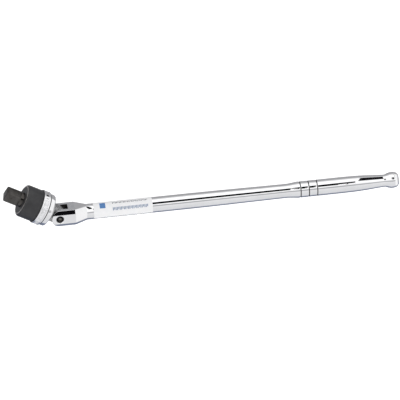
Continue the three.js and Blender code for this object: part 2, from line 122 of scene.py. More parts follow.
def eased(corners, segments):
    """An outline of (x, y, fillet) corners, each rounded to its fillet's radius."""
    points = [Vector(corner[:2]) for corner in corners]
    out = [tuple(points[0])]
    for i in range(1, len(corners) - 1):
        here, fillet = points[i], corners[i][2]
        back, ahead = (points[i - 1] - here).normalized(), (points[i + 1] - here).normalized()
        angle = back.angle(ahead)
        if fillet == 0 or angle > math.radians(179):
            out.append(tuple(here))
            continue
        start = here + back * fillet / math.tan(angle / 2)
        centre = here + (back + ahead).normalized() * fillet / math.sin(angle / 2)
        side = 1 if back.cross(ahead) < 0 else -1
        for k in range(segments + 1):
            turn = Matrix.Rotation(side * (math.pi - angle) * k / segments, 2)
            out.append(tuple(centre + turn @ (start - centre)))
    out.append(tuple(points[-1]))
    return out


def turned(name, profile, steps=96):
    """A profile of (x, radius) points, turned about X."""
    loop = profile[0] == profile[-1]
    return from_rings(name, [circle(x, r, steps) for x, r in (profile[:-1] if loop else profile)], loop)


def prism_y(name, outline, half):
    """An outline of (x, z) points, pulled along Y to both sides."""
    return from_rings(name, [[(x, side * half, z) for x, z in outline] for side in (-1, 1)])


def prism_x(name, outline, x0, x1):
    """An outline of (y, z) points, pulled along X."""
    return from_rings(name, [[(x, y, z) for y, z in outline] for x in (x0, x1)])


def sector(inner, outer, start, end, step=2.0):
    """The outline in (y, z) of a part of a ring, between two polar angles."""
    count = max(1, math.ceil((end - start) / step))
    angles = [start + (end - start) * i / count for i in range(count + 1)]
    return [polar(outer, a) for a in angles] + [polar(inner, a) for a in reversed(angles)]


def moved(obj, matrix):
    obj.data.transform(matrix)
    return obj


def radial(s, angle, radius):
    """Sends +X to the radial direction at polar angle `angle`, starting `radius` from the axis."""
    turn = Matrix.Rotation(math.radians(angle), 4, "X") @ Matrix.Rotation(math.radians(90), 4, "Z")
    return Matrix.Translation((s, 0, 0)) @ turn @ Matrix.Translation((radius, 0, 0))


def bake(obj):
    """Makes obj's modifiers part of its mesh."""
    seen = obj.evaluated_get(bpy.context.evaluated_depsgraph_get())
    mesh = bpy.data.meshes.new_from_object(seen)
    obj.modifiers.clear()
    obj.data = mesh
    return obj


def combine(obj, other, operation="DIFFERENCE"):
    """Cuts other out of obj, or joins it on, and deletes other."""
    modifier = obj.modifiers.new("combine", "BOOLEAN")
    modifier.operation, modifier.solver, modifier.object = operation, "EXACT", other
    bake(obj)
    bpy.data.objects.remove(other)
    return obj


def bevel(obj, width, angle, segments):
    """Adds a modifier that rounds the edges sharper than angle."""
    modifier = obj.modifiers.new("soften", "BEVEL")
    modifier.width, modifier.segments, modifier.limit_method = width, segments, "ANGLE"
    modifier.angle_limit = math.radians(angle)
    return obj


def soften(obj, width, angle, segments):
    """Rounds the edges sharper than angle, in the mesh itself."""
    return bake(bevel(obj, width, angle, segments))


def off_axis(place):
    """The distance of a place from the X axis."""
    return math.hypot(place.y, place.z)


def finish_faces(obj, materials, pick):
    """Gives obj its materials, and each face the one whose index pick(centre, normal) returns."""
    for material in materials:
        obj.data.materials.append(material)
    for face in obj.data.polygons:
        face.material_index = pick(face.center, face.normal)


def smooth(obj):
    obj.data.shade_smooth()
    obj.data.set_sharp_from_angle(angle=math.radians(30))


def deliver(obj, at, body, material, slot, *nodes):
    """Sets a finished piece in the row frame, on its body, in its material."""
    moved(obj, at)
    smooth(obj)
    if not obj.data.materials:
        obj.data.materials.append(material)
    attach(obj, body)
    if nodes:
        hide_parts(*nodes)
    return obj


def fill_ramp(ramp, stops):
    """Sets a Color Ramp node's (position, value or colour) stops."""
    elements = ramp.color_ramp.elements
    while len(elements) < len(stops):
        elements.new(0.5)
    for element, (position, value) in zip(elements, stops):
        element.position = position
        element.color = (*value, 1) if isinstance(value, tuple) else (value, value, value, 1)


# ---- Material helpers -----------------------------------------------------------------------


class Shader:
    """A material with one Principled shader, and helpers for its textures."""

    def __init__(self, name, base, metallic, roughness, **sockets):
        self.material = bpy.data.materials.new(name)
        self.material.use_nodes = True
        self.nodes = self.material.node_tree.nodes
        self.links = self.material.node_tree.links
        self.bsdf = self.nodes["Principled BSDF"]
        self.set("Base Color", (*base, 1))
        self.set("Metallic", metallic)
        self.set("Roughness", roughness)
        for socket, value in sockets.items():
            self.set(socket.replace("_", " "), value)
        self.place = self.nodes.new("ShaderNodeTexCoord").outputs["Object"]

    def set(self, socket, value):
        self.bsdf.inputs[socket].default_value = value

    def noise(self, scale, detail, stretch=(1, 1, 1)):
        """A noise texture in the piece's own space."""
        mapping = self.nodes.new("ShaderNodeMapping")
        mapping.inputs["Scale"].default_value = stretch
        texture = self.nodes.new("ShaderNodeTexNoise")
        texture.inputs["Scale"].default_value = scale
        texture.inputs["Detail"].default_value = detail
        self.links.new(self.place, mapping.inputs["Vector"])
        self.links.new(mapping.outputs["Vector"], texture.inputs["Vector"])
        return texture.outputs["Fac"]

    def ramp(self, fac, stops, target):
        """Maps fac through the stops into one of the shader's sockets."""
        ramp = self.nodes.new("ShaderNodeValToRGB")
        fill_ramp(ramp, stops)
        self.links.new(fac, ramp.inputs["Fac"])
        self.links.new(ramp.outputs["Color"], self.bsdf.inputs[target])

    def bump(self, *layers):
        """Adds (height, strength, depth in metres) layers of relief."""
        normal = None
        for height, strength, depth in layers:
            bump = self.nodes.new("ShaderNodeBump")
            bump.inputs["Strength"].default_value = strength
            bump.inputs["Distance"].default_value = depth
            self.links.new(height, bump.inputs["Height"])
            if normal:
                self.links.new(normal, bump.inputs["Normal"])
            normal = bump.outputs["Normal"]
        self.links.new(normal, self.bsdf.inputs["Normal"])


def chrome_plate():
    """Bright polished plate with faint swirls and smudges."""
    shader = Shader("chrome_plate", (0.85, 0.85, 0.86), 1.0, 0.04)
    shader.ramp(shader.noise(60, 4), [(0.35, (0.82, 0.82, 0.83)), (0.7, (0.87, 0.87, 0.88))], "Base Color")
    shader.ramp(shader.noise(240, 6, (1, 3, 3)), [(0.35, 0.02), (0.75, 0.06)], "Roughness")
    shader.bump((shader.noise(420, 2), 0.02, 0.0001), (shader.noise(5000, 2, (0.05, 1, 1)), 0.03, 0.00001))
    return shader.material


def brushed_chrome():
    """The plated flats of the yoke, which keep the grinding lines under the plate."""
    shader = Shader("brushed_chrome", (0.80, 0.81, 0.83), 1.0, 0.2)
    lines = shader.noise(2600, 4, (0.03, 1, 1))
    shader.ramp(lines, [(0.3, (0.70, 0.71, 0.73)), (0.7, (0.86, 0.865, 0.88))], "Base Color")
    shader.ramp(lines, [(0.3, 0.14), (0.75, 0.30)], "Roughness")
    shader.bump((lines, 0.25, 0.00003))
    return shader.material


def satin_black():
    """The ratchet body's satin black finish; the painted highlight on its front rim is another material."""
    shader = Shader("satin_black", (0.03, 0.03, 0.032), 0.2, 0.42)
    shader.ramp(shader.noise(90, 4), [(0.35, (0.024, 0.024, 0.026)), (0.7, (0.038, 0.038, 0.04))],
                "Base Color")
    shader.ramp(shader.noise(700, 5), [(0.3, 0.34), (0.75, 0.5)], "Roughness")
    shader.bump((shader.noise(2600, 4), 0.12, 0.00005))
    return shader.material


def painted_highlight_steel():
    """Painted highlight: a brighter steel for the rim of the ratchet body's front, and painted light inside the
    screw's socket.
    """
    shader = Shader("painted_highlight_steel", (0.2, 0.19, 0.18), 0.8, 0.3)
    shader.ramp(shader.noise(500, 5), [(0.35, (0.2, 0.19, 0.18)), (0.62, (0.5, 0.48, 0.46))], "Base Color")
    shader.bump((shader.noise(2600, 4), 0.12, 0.00005))
    return shader.material


def drive_steel():
    """Dark hardened steel with grinding lines along the square."""
    shader = Shader("drive_steel", (0.09, 0.085, 0.08), 1.0, 0.3)
    shader.ramp(shader.noise(160, 5), [(0.3, (0.06, 0.055, 0.05)), (0.72, (0.115, 0.11, 0.105))],
                "Base Color")
    shader.ramp(shader.noise(900, 5, (0.3, 1, 1)), [(0.3, 0.14), (0.75, 0.3)], "Roughness")
    shader.bump((shader.noise(2200, 4), 0.08, 0.00003))
    return shader.material


def black_oxide():
    """The screw and the shift pins: near black and dull."""
    shader = Shader("black_oxide", (0.01, 0.01, 0.011), 0.7, 0.4, Specular_IOR_Level=0.25)
    shader.ramp(shader.noise(800, 5), [(0.3, (0.006, 0.006, 0.007)), (0.75, (0.016, 0.016, 0.018))],
                "Base Color")
    shader.ramp(shader.noise(1500, 4), [(0.3, 0.26), (0.75, 0.44)], "Roughness")
    shader.bump((shader.noise(3000, 3), 0.15, 0.00003))
    return shader.material


def tool_steel():
    """Plain hardened steel, for the plunger and the works inside the head."""
    shader = Shader("tool_steel", (0.4, 0.385, 0.37), 1.0, 0.3)
    shader.ramp(shader.noise(350, 5), [(0.3, (0.33, 0.315, 0.3)), (0.75, (0.47, 0.455, 0.44))], "Base Color")
    shader.ramp(shader.noise(1200, 5), [(0.3, 0.22), (0.75, 0.4)], "Roughness")
    shader.bump((shader.noise(2400, 4), 0.15, 0.00003))
    return shader.material


def spring_wire():
    shader = Shader("spring_wire", (0.45, 0.45, 0.46), 1.0, 0.28)
    shader.ramp(shader.noise(900, 4), [(0.3, (0.36, 0.36, 0.37)), (0.75, (0.52, 0.52, 0.53))], "Base Color")
    shader.ramp(shader.noise(2000, 4), [(0.3, 0.2), (0.75, 0.38)], "Roughness")
    return shader.material


def polished_ball():
    shader = Shader("polished_ball", (0.72, 0.72, 0.74), 1.0, 0.08)
    shader.ramp(shader.noise(900, 4), [(0.3, 0.05), (0.75, 0.14)], "Roughness")
    return shader.material


def sintered_bronze():
    shader = Shader("sintered_bronze", (0.5, 0.31, 0.13), 1.0, 0.38)
    shader.ramp(shader.noise(1600, 5), [(0.3, (0.36, 0.21, 0.08)), (0.7, (0.58, 0.38, 0.17))], "Base Color")
    shader.bump((shader.noise(4000, 3), 0.3, 0.00004))
    return shader.material


def seal_rubber():
    shader = Shader("seal_rubber", (0.012, 0.012, 0.012), 0.0, 0.75)
    shader.ramp(shader.noise(1800, 4), [(0.3, 0.65), (0.7, 0.85)], "Roughness")
    shader.bump((shader.noise(3000, 3), 0.2, 0.00003))
    return shader.material


def painted_shade_chrome():
    """The hub and tongue: rougher plate, darkened as painted shade for the shade between the flange and the
    yoke's ears.
    """
    shader = Shader("painted_shade_chrome", (0.36, 0.36, 0.36), 1.0, 0.22)
    shader.ramp(shader.noise(300, 5), [(0.3, (0.27, 0.27, 0.27)), (0.72, (0.45, 0.45, 0.45))], "Base Color")
    shader.ramp(shader.noise(900, 5), [(0.3, 0.18), (0.75, 0.36)], "Roughness")
    shader.bump((shader.noise(1800, 4), 0.15, 0.00004))
    return shader.material


def painted_shade_steel():
    """Painted shade: dark, dull steel for the slot's walls, the pin's bore, the grip's grooves and the faces
    beside the flange and selector ring.
    """
    shader = Shader("painted_shade_steel", (0.04, 0.038, 0.036), 0.8, 0.5)
    shader.ramp(shader.noise(700, 5), [(0.3, (0.025, 0.024, 0.023)), (0.75, (0.055, 0.053, 0.05))],
                "Base Color")
    shader.bump((shader.noise(2400, 4), 0.15, 0.00004))
    return shader.material


def clear_film(name, veil):
    """The label's thin film: it veils the chrome below it with a soft white, as far as veil says."""
    shader = Shader(name, (0.9, 0.91, 0.93), 0.0, 0.3, Alpha=veil)
    shader.ramp(shader.noise(300, 4), [(0.3, (0.96, 0.962, 0.97)), (0.7, (0.99, 0.99, 0.995))], "Base Color")
    shader.bump((shader.noise(700, 3), 0.08, 0.00005))
    return shader.material


def ink(name, colour):
    """A flat printed colour, a little uneven."""
    shader = Shader(name, colour, 0.0, 0.4)
    darker = tuple(part * 0.8 for part in colour)
    shader.ramp(shader.noise(1500, 4), [(0.3, darker), (0.7, colour)], "Base Color")
    return shader.material


CHROME = chrome_plate()
BRUSHED = brushed_chrome()
BLACK = satin_black()
DRIVE = drive_steel()
OXIDE = black_oxide()
TOOL = tool_steel()
WIRE = spring_wire()
BALL = polished_ball()
BRONZE = sintered_bronze()
RUBBER = seal_rubber()
PAINTED_SHADE_HUB = painted_shade_chrome()
PAINTED_HIGHLIGHT = painted_highlight_steel()
SHADOWED = painted_shade_steel()
FILM = clear_film("clear_film", 0.8)
UNDER_FILM = clear_film("unprinted_film", 0.12)

# ---- Bar ------------------------------------------------------------------------------------

YOKE = {"front": -8.8, "end": 17.5, "half_width": 13.2, "half_height": 9.3, "flat": 5.3, "land": 10.1,
        "corner": 8.8}
SHANK_RADIUS = 8.85
TAPER_END = 31
SLOT_HALF, SLOT_ROOT = 5.75, 10.2
PIN_RADIUS = 4
GRIP_RADIUS = 9.2
GROOVES, GROOVE_HALF, GROOVE_DEPTH = (273.9, 283.5, 293.1), 0.6, 0.5
NECK_RADIUS, KNOB_RADIUS, BAR_END = 7.05, 9.1, 388
CROSSWISE = Matrix.Rotation(math.radians(90), 4, "Z")  # turns a piece made about X to lie along Y


def yoke_ring(x):
    """The yoke's eight-sided section at x, with small rounds on its corners."""
    front_centre = YOKE["front"] + YOKE["corner"]
    drop = max(0.0, front_centre - x)
    height = YOKE["half_height"] - YOKE["corner"] + math.sqrt(max(0.0, YOKE["corner"] ** 2 - drop**2))
    slope = (YOKE["half_width"] - YOKE["land"]) / (YOKE["half_height"] - YOKE["flat"])
    depth = max(height - YOKE["flat"], 0.3)
    side = (YOKE["half_width"], height - depth)
    land = (YOKE["half_width"] - depth * slope, height)
    round_off = min(0.2, 0.3 * depth)
    corners = [Vector((YOKE["half_width"], 0)), Vector(side), Vector(land), Vector((0, height))]
    quadrant = []
    for k, pieces in zip(range(3), (2, 2, 4)):
        a, b = corners[k], corners[k + 1]
        way = (b - a).normalized()
        a_in = a if k == 0 else a + way * round_off
        b_in = b if k == 2 else b - way * round_off
        quadrant.extend(a_in.lerp(b_in, i / pieces) for i in range(pieces + 1))
        if k < 2:
            after = b + (corners[k + 2] - b).normalized() * round_off
            for i in range(1, 9):
                t = i / 9
                quadrant.append(b_in.lerp(b, t).lerp(b.lerp(after, t), t))
    back = list(reversed(quadrant))
    ring = [(p.x, p.y) for p in quadrant[:-1]] + [(-p.x, p.y) for p in back[:-1]]
    ring += [(-p.x, -p.y) for p in quadrant[:-1]] + [(p.x, -p.y) for p in back[:-1]]
    return [(x, y, z) for y, z in ring]


def taper_targets():
    """The polar angle where each point of the yoke's ring lands on the round shank."""
    bevel_width, bevel_height = YOKE["half_width"] - YOKE["land"], YOKE["half_height"] - YOKE["flat"]
    bevel_normal = math.degrees(math.atan2(bevel_width, bevel_height))
    side, land = 0.5, bevel_normal + 0.5
    angles = [side * i / 2 for i in range(3)]
    angles += [side + (bevel_normal - 0.5 - side) * i / 9 for i in range(1, 9)]
    angles += [bevel_normal - 0.5 + i / 2 for i in range(3)]
    angles += [land + (89 - land) * i / 9 for i in range(1, 9)]
    angles += [89 + i / 4 for i in range(5)]
    back = [180 - a for a in reversed(angles)]
    return angles[:-1] + back[:-1] + [180 + a for a in angles[:-1]] + [180 + a for a in back[:-1]]


def blended(ring_a, ring_b, t):
    return [tuple(Vector(a).lerp(Vector(b), t)) for a, b in zip(ring_a, ring_b)]


def bezier(a, b, c, d, count):
    """Corners without fillets along a cubic curve from a to d, a left out."""
    points = [Vector(p) for p in (a, b, c, d)]
    out = []
    for i in range(1, count + 1):
        t = i / count
        weights = ((1 - t) ** 3, 3 * t * (1 - t) ** 2, 3 * t * t * (1 - t), t**3)
        out.append((*sum((w * p for w, p in zip(weights, points)), Vector((0, 0))), 0))
    return out


def shank_profile():
    """From the yoke's taper along the slimming shank, the grooved grip and the neck, to the knob's end."""
    corners = [(TAPER_END, SHANK_RADIUS, 0), (44, SHANK_RADIUS, 0), (60, SHANK_RADIUS, 0),
               (150, SHANK_RADIUS, 2000), (173, 8.76, 900), (196, 8.56, 900), (221, 8.3, 900), (259, 8, 40),
               (261.9, 8.2, 12), (270.9, GRIP_RADIUS, 4)]
    floor_radius = GRIP_RADIUS - GROOVE_DEPTH
    for middle in GROOVES:
        corners += [(middle - GROOVE_HALF, GRIP_RADIUS, 0.25), (middle - GROOVE_HALF / 2, floor_radius, 0.25)]
        corners += [(middle + GROOVE_HALF / 2, floor_radius, 0.25), (middle + GROOVE_HALF, GRIP_RADIUS, 0.25)]
    slim_start, slim_end = (318, GRIP_RADIUS), (370, NECK_RADIUS)
    corners += [(*slim_start, 0), *bezier(slim_start, (350, GRIP_RADIUS), (354, 7.9), slim_end, 14)]
    corners += [(372.6, NECK_RADIUS, 3), (376.4, 8.5, 2.5), (379, KNOB_RADIUS, 1.5), (379.7, KNOB_RADIUS, 0),
                (381.6, KNOB_RADIUS, 0), (382.8, KNOB_RADIUS, 6), (386.2, 8.1, 3), (387.7, 6.2, 1.2),
                (BAR_END, 4.6, 0.6), (BAR_END, 0, 0)]
    return eased(corners, 6)


def handle():
    """The whole bar: yoke, shank, grip and knob, with the tongue's slot and the bores."""
    octagon = yoke_ring(YOKE["end"])
    angles = taper_targets()
    front_end = YOKE["front"] + YOKE["corner"]
    fronts = [front_end - YOKE["corner"] * math.cos(math.radians(a)) for a in range(0, 91, 6)]
    rings = [yoke_ring(x) for x in fronts] + [yoke_ring(x) for x in (6, 12, 17.3)] + [octagon]
    taper = [(TAPER_END, *polar(SHANK_RADIUS, a)) for a in angles]
    rings += [blended(octagon, taper, step) for step in (0.03, 0.25, 0.5, 0.75, 0.97)]
    even = [360 * i / len(angles) for i in range(len(angles))]
    for x, radius in shank_profile():
        share = min(max((x - TAPER_END) / 6, 0), 1)
        around = [a + (e - a) * share for a, e in zip(angles, even)]
        rings.append([(x, *polar(radius, a)) for a in around] if radius > 1e-6 else [(x, 0, 0)])
    obj = from_rings("handle", rings)
    slot = prism_y("cutter", [(-20, -15), (SLOT_ROOT, -15), (SLOT_ROOT, 15), (-20, 15)], SLOT_HALF)
    combine(obj, slot)
    edge = PIN_RADIUS + 0.65
    hole = eased([(-20, 0, 0), (-20, edge, 0), (-13.2, edge, 0), (-12.55, PIN_RADIUS, 0),
                  (12.55, PIN_RADIUS, 0), (13.2, edge, 0), (20, edge, 0), (20, 0, 0)], 5)
    combine(obj, moved(turned("cutter", hole, 64), CROSSWISE))
    combine(obj, turned("cutter", [(SLOT_ROOT - 2, 0), (SLOT_ROOT - 2, 3.3), (30.8, 3.3), (30.8, 0)], 48))
    soften(obj, 0.15, 44, 2)

    def pick(place, normal):
        # the slot's walls, the grip's grooves and the pin's bore take painted shade
        in_slot = place.x < SLOT_ROOT + 0.1 and abs(place.y) < SLOT_HALF + 0.02
        in_groove = GROOVES[0] - 0.9 < place.x < GROOVES[-1] + 0.9 and off_axis(place) < GRIP_RADIUS - 0.08
        if in_slot or in_groove or math.hypot(place.x, place.z) < PIN_RADIUS - 0.01:
            return 2
        return 1 if abs(normal.z) > 0.995 and place.x < YOKE["end"] + 0.1 else 0

    finish_faces(obj, (CHROME, BRUSHED, SHADOWED), pick)
    return deliver(obj, BAR, "bar", CHROME, "chrome", "handle_bar")


def hinge_screw():
    """The shoulder screw through the yoke, with a hexagonal socket in its front end."""
    half, radius, chamfer, across_flats = 12.9, 3.7, 0.4, 4
    profile = [(-half, 0, 0), (-half, radius - chamfer, 0.15), (-half + chamfer, radius, 0.3),
               (half - chamfer, radius, 0.3), (half, radius - chamfer, 0.15), (half, 0, 0)]
    obj = turned("hinge_screw_fine", eased(profile, 3), 72)
    hexagon = [polar(across_flats / 2 / math.cos(math.radians(30)), 60 * i) for i in range(6)]
    combine(obj, prism_x("cutter", hexagon, -half - 1, -half + 4))
    soften(obj, 0.12, 40, 2)
    # painted light lifts the inside of the hex socket to grey
    finish_faces(obj, (OXIDE, PAINTED_HIGHLIGHT),
                 lambda place, normal: int(-half + 0.1 < place.x < 0 and off_axis(place) < 2.4))
    moved(obj, CROSSWISE)
    return deliver(obj, BAR, "bar", OXIDE, "black_oxide", "hinge_screw")


LABEL_START, LABEL_END = 38.5, 104.8
LABEL_ANGLES = (40, 216, 280)  # top edge, where the white backing stops, and bottom edge
TICKS, TICK_START, TICK_PITCH = 26, 60, 1.55


def label():
    """A film round the shank, with a plain block and rows of ticks in place of any print."""
    inner, outer = SHANK_RADIUS + 0.08, SHANK_RADIUS + 0.2
    ink_inner, ink_outer = outer + 0.003, outer + 0.02
    top, backing_end, bottom = LABEL_ANGLES
    film = prism_x("label_film_sheet", sector(inner, outer, top, backing_end, 3), LABEL_START, LABEL_END)
    deliver(film, BAR, "bar", FILM, "label_film", "shank_label")
    unprinted = sector(inner, outer, backing_end, bottom, 3)
    under = prism_x("label_film_underside", unprinted, LABEL_START, LABEL_END)
    deliver(under, BAR, "bar", UNDER_FILM, "label_film")
    blue = ink("band_blue", (0.08, 0.22, 0.5))
    grey = ink("band_grey", (0.045, 0.06, 0.1))
    pale = ink("band_pale", (0.07, 0.16, 0.32))
    block = prism_x("label_block", sector(ink_inner, ink_outer, 94, 140, 3), 45.5, 52)
    deliver(block, BAR, "bar", blue, "label_film")
    for name, low, high, width, paint in (("label_ticks_upper", 97, 111, 0.75, grey),
                                          ("label_ticks_lower", 141, 163, 0.8, pale)):
        vertices, faces = [], []
        for i in range(TICKS):
            section = sector(ink_inner, ink_outer, low, high - 5 * (i % 3 == 1), 6)
            start, x0 = len(vertices), TICK_START + TICK_PITCH * i
            vertices += [(x, y, z) for x in (x0, x0 + width) for y, z in section]
            count = len(section)
            faces += [[start + j for j in range(count)], [start + count + j for j in range(count)]]
            faces += [(start + j, start + (j + 1) % count, start + count + (j + 1) % count, start + count + j)
                      for j in range(count)]
        deliver(new_object(name, vertices, faces), BAR, "bar", paint, "label_film")


# ---- Head -----------------------------------------------------------------------------------

# Places along the head's axis, with their polar angles round it
SOCKET_BALL = (60.3, 342.5)
DETENT = (20.4, 348.5)
FORWARD_PAWL, REVERSE_PAWL = (36.2, 90), (36.2, -90)
SHIFT_ANGLES = (253.5, 73.5)
SELECTOR_TRAVEL = 24


def bore(radius, depth):
    """The profile of a plain round cutter."""
    return [(0, 0), (0, radius), (depth, radius), (depth, 0)]


def head_casting():
    """Tongue, hub, flange and hollow spigot."""
    corners = [(9.6, 0, 0), (9.6, 11.6, 0.6), (11.7, 11.6, 0.8), (12.5, 14.4, 1.5), (12.75, 18.2, 1.4),
               (18.2, 18.2, 0.4), (18.2, 15.3, 0), (30.5, 15.3, 0.3), (30.5, 12.6, 0.3), (22.2, 12.6, 0),
               (22.2, 0, 0)]
    obj = turned("head_casting", eased(corners, 5), 128)
    outline = [polar(9.2, a) for a in range(90, 271, 5)] + [(12.6, -9.2), (12.6, 9.2)]
    tongue = soften(prism_y("cutter", outline, 5.6), 0.5, 50, 3)
    combine(obj, tongue, "UNION")
    hole = [(-7, 0), (-7, 5.4), (-5.6, 4.3), (-5.3, PIN_RADIUS), (5.3, PIN_RADIUS), (5.6, 4.3), (7, 5.4),
            (7, 0)]
    combine(obj, moved(turned("cutter", hole, 64), CROSSWISE))
    combine(obj, moved(turned("cutter", bore(1.6, 10), 32), radial(*DETENT, 7)))
    for angle in SHIFT_ANGLES:
        combine(obj, prism_x("cutter", sector(11.6, 16.3, angle - 6.9, angle + 30.9), 22.3, 25.3))

    def pick(place, normal):
        # the hub and tongue take painted shade, and so does the flange's end face
        if place.x < 12.55:
            return 1
        return 2 if place.x > 18.19 else 0

    finish_faces(obj, (CHROME, PAINTED_SHADE_HUB, SHADOWED), pick)
    return deliver(obj, HEAD, "head", CHROME, "chrome", "hinge_head")


def ring_seal():
    """The flat seal behind the selector ring."""
    profile = [(18.7, 15.6, 0), (18.5, 15.8, 0.1), (18.5, 17, 0.15), (18.9, 17, 0.15), (18.9, 15.8, 0.1),
               (18.7, 15.6, 0)]
    obj = turned("ring_seal_fine", eased(profile, 3), 96)
    return deliver(obj, HEAD, "head", RUBBER, "seal_rubber", "ring_seal")


def housing():
    """The ratchet's round body, open at the rear, with two blind holes for the pawl pins."""
    corners = [(32.2, 15.6, 0), (27.6, 15.6, 0.2), (27.6, 18.4, 0.45), (46.6, 18.4, 3), (46.6, 8.5, 0.3),
               (45.4, 8.5, 0), (45.4, 10.3, 0), (41, 10.3, 0), (41, 15, 0), (32.2, 15, 0), (32.2, 15.6, 0)]
    obj = turned("housing_shell", eased(corners, 7), 144)
    for side in (1, -1):
        place = Matrix.Translation((40.5, *polar(13, side * 122)))
        combine(obj, moved(turned("cutter", bore(1.5, 3), 24), place))
    # a painted highlight runs round the front rim
    finish_faces(obj, (BLACK, PAINTED_HIGHLIGHT),
                 lambda place, normal: int(place.x > 45.9 and 15.1 < off_axis(place) < 16.9))
    return deliver(obj, HEAD, "head", BLACK, "housing_black", "ratchet_housing")


# ---- Selector ---------------------------------------------------------------------------------

KNURL = {"start": 20.95, "end": 25.55, "floor": 18.98, "height": 0.42, "count": 78, "blank": (236, 282)}
RING_STEPS = 468


def knurl_height(x, angle):
    """Small pyramids, except on the plain pad that holds the marks."""
    low, high = KNURL["blank"]
    pitch = 2 * math.pi * 19.2 / KNURL["count"]
    u, v = angle / 360 * KNURL["count"], (x - KNURL["start"]) / pitch
    waves = [1 - abs(2 * ((u + side * v) % 1) - 1) for side in (1, -1)]
    bare = min(max((min(angle - low, high - angle) + 3) / 3, 0), 1)
    return min(waves) * (1 - bare) + 0.6 * bare


def knurled_ring():
    """The selector ring: a rough band between two bright rims, with a notch for the detent ball."""
    start, end, base = KNURL["start"], KNURL["end"], KNURL["floor"]
    rim = [(19.2, 15.6, 0), (19.2, 19.5, 0.5), (20.7, 19.5, 0.2), (20.9, base, 0.1), (start, base, 0)]
    front = eased(rim, 4)
    rear = [(start + end - x, r) for x, r in reversed(front)]
    band = [start + (end - start) * i / 18 for i in range(1, 18)]
    rings = [circle(x, r, RING_STEPS) for x, r in front]
    for x in band:
        angles = [360 * i / RING_STEPS for i in range(RING_STEPS)]
        rings.append([(x, *polar(base + KNURL["height"] * knurl_height(x, a), a)) for a in angles])
    rings += [circle(x, r, RING_STEPS) for x, r in rear]
    obj = from_rings("selector_ring_knurled", rings, True)
    for angle in SHIFT_ANGLES:
        combine(obj, moved(turned("cutter", bore(1.5, 6), 32), radial(23.8, angle, 14.6)))
    notch = sector(14.3, 16.2, DETENT[1] - SELECTOR_TRAVEL - 6, DETENT[1] + 6)
    combine(obj, prism_x("cutter", notch, 18.2, 22))
    # the ring's side faces and bore take painted shade
    finish_faces(obj, (CHROME, SHADOWED),
                 lambda place, normal: int(not 19.21 < place.x < 27.29 or off_axis(place) < 17))
    return deliver(obj, HEAD, "selector", CHROME, "chrome", "selector_ring")


def selector_marks():
    """Plain index strokes on the ring's pad."""
    paint = ink("mark_black", (0.01, 0.01, 0.01))
    for name, s0, s1, low, high in (("selector_mark_1", 22.2, 24.6, 239, 240.8),
                                    ("selector_mark_2", 22.9, 23.6, 263, 272)):
        mark = prism_x(name, sector(19.2, 19.28, low, high, 1), s0, s1)
        deliver(mark, HEAD, "selector", paint, "black_oxide")


# ---- Drive --------------------------------------------------------------------------------------


def rounded_square(x, across, corner):
    """A ring round X, with arcs at its four corners."""
    half = across / 2
    ring = []
    for k in range(4):
        cy, cz = polar(math.hypot(half - corner, half - corner), k * 90 + 45)
        arc = [polar(corner, k * 90 + a) for a in range(0, 91, 10)]
        ring += [(x, cy + y, cz + z) for y, z in arc]
    return ring


def spindle():
    """The half inch square, its collar and journal, and the ratchet gear."""
    across, corner, tip, tooth_count = 12.7, 1.1, 66.8, 36
    steps = [(49, 0), (51.2, 0), (65.3, 0), (65.8, 0.12), (66.2, 0.4), (66.5, 0.75), (66.72, 1.2), (tip, 1.7)]
    rings = [rounded_square(x, across - 2 * inset, max(corner - 0.2 * inset, 0.4)) for x, inset in steps]
    obj = from_rings("spindle_fine", rings)
    moved(obj, Matrix.Rotation(math.radians(SOCKET_BALL[1] - 270), 4, "X"))
    journal = [(27.5, 0, 0), (27.5, 6, 0.5), (33.8, 6, 0), (33.8, 8.2, 0), (50.5, 8.2, 0.5), (50.5, 0, 0)]
    combine(obj, turned("cutter", eased(journal, 4), 96), "UNION")
    pitch = 360 / tooth_count
    teeth = []
    for i in range(tooth_count):
        teeth += [polar(radius, (i + turn) * pitch) for radius, turn in ((9.35, 0.5), (10.2, 0.9), (10.2, 1.1))]
    combine(obj, prism_x("cutter", teeth, 32.8, 40.6), "UNION")
    combine(obj, moved(turned("cutter", bore(2.75, 14), 48), radial(*SOCKET_BALL, -3.6)))
    soften(obj, 0.1, 50, 2)
    return deliver(obj, HEAD, "drive", DRIVE, "drive_steel", "drive_spindle")


def ball(name, radius, place, centre, body, node):
    """A ball whose middle is `centre` from the head's axis, at a (place along it, polar angle)."""
    profile = [polar(radius, a) for a in range(0, 181, 9)]
    obj = moved(turned(name, [(-x, max(r, 0)) for x, r in profile], 40), radial(*place, centre))
    return deliver(obj, HEAD, body, BALL, "ball_steel", node)


def coil(name, outer, length, wire, turns, at, matrix, body, node):
    """A coil spring along X, closer wound at its ends."""
    steps, sides = turns * 20, 10
    radius = outer - wire / 2
    rings = []
    for i in range(steps + 1):
        t = i / steps
        eased_t = t + 0.5 / turns * math.sin(2 * math.pi * t) / -math.pi
        angle = 360 * turns * t
        x = wire / 2 + (length - wire) * min(max(eased_t, 0), 1)
        ring = []
        for k in range(sides):
            out, along = polar(wire / 2, 360 * k / sides)
            ring.append((x + along, *polar(radius + out, angle)))
        rings.append(ring)
    obj = moved(from_rings(name, rings), at)
    return deliver(obj, matrix, body, WIRE, "spring_steel", node)


# ---- CAD pieces that keep their shape ------------------------------------------------------------


def dress(node, material):
    """Gives a CAD piece its finish, and rounds its edges a little."""
    obj = frame["nodes"][node]
    obj.data.materials.clear()
    obj.data.materials.append(material)
    smooth(obj)
    bevel(obj, 0.08 * MM, 40, 2)


handle()
hinge_screw()
label()
head_casting()
ring_seal()
housing()
knurled_ring()
selector_marks()
spindle()
ball("socket_ball_fine", 2.4, SOCKET_BALL, 4.85, "socket_ball_body", "socket_ball")
ball("detent_ball_fine", 1.3, DETENT, 14.35, "detent_ball_body", "detent_ball")

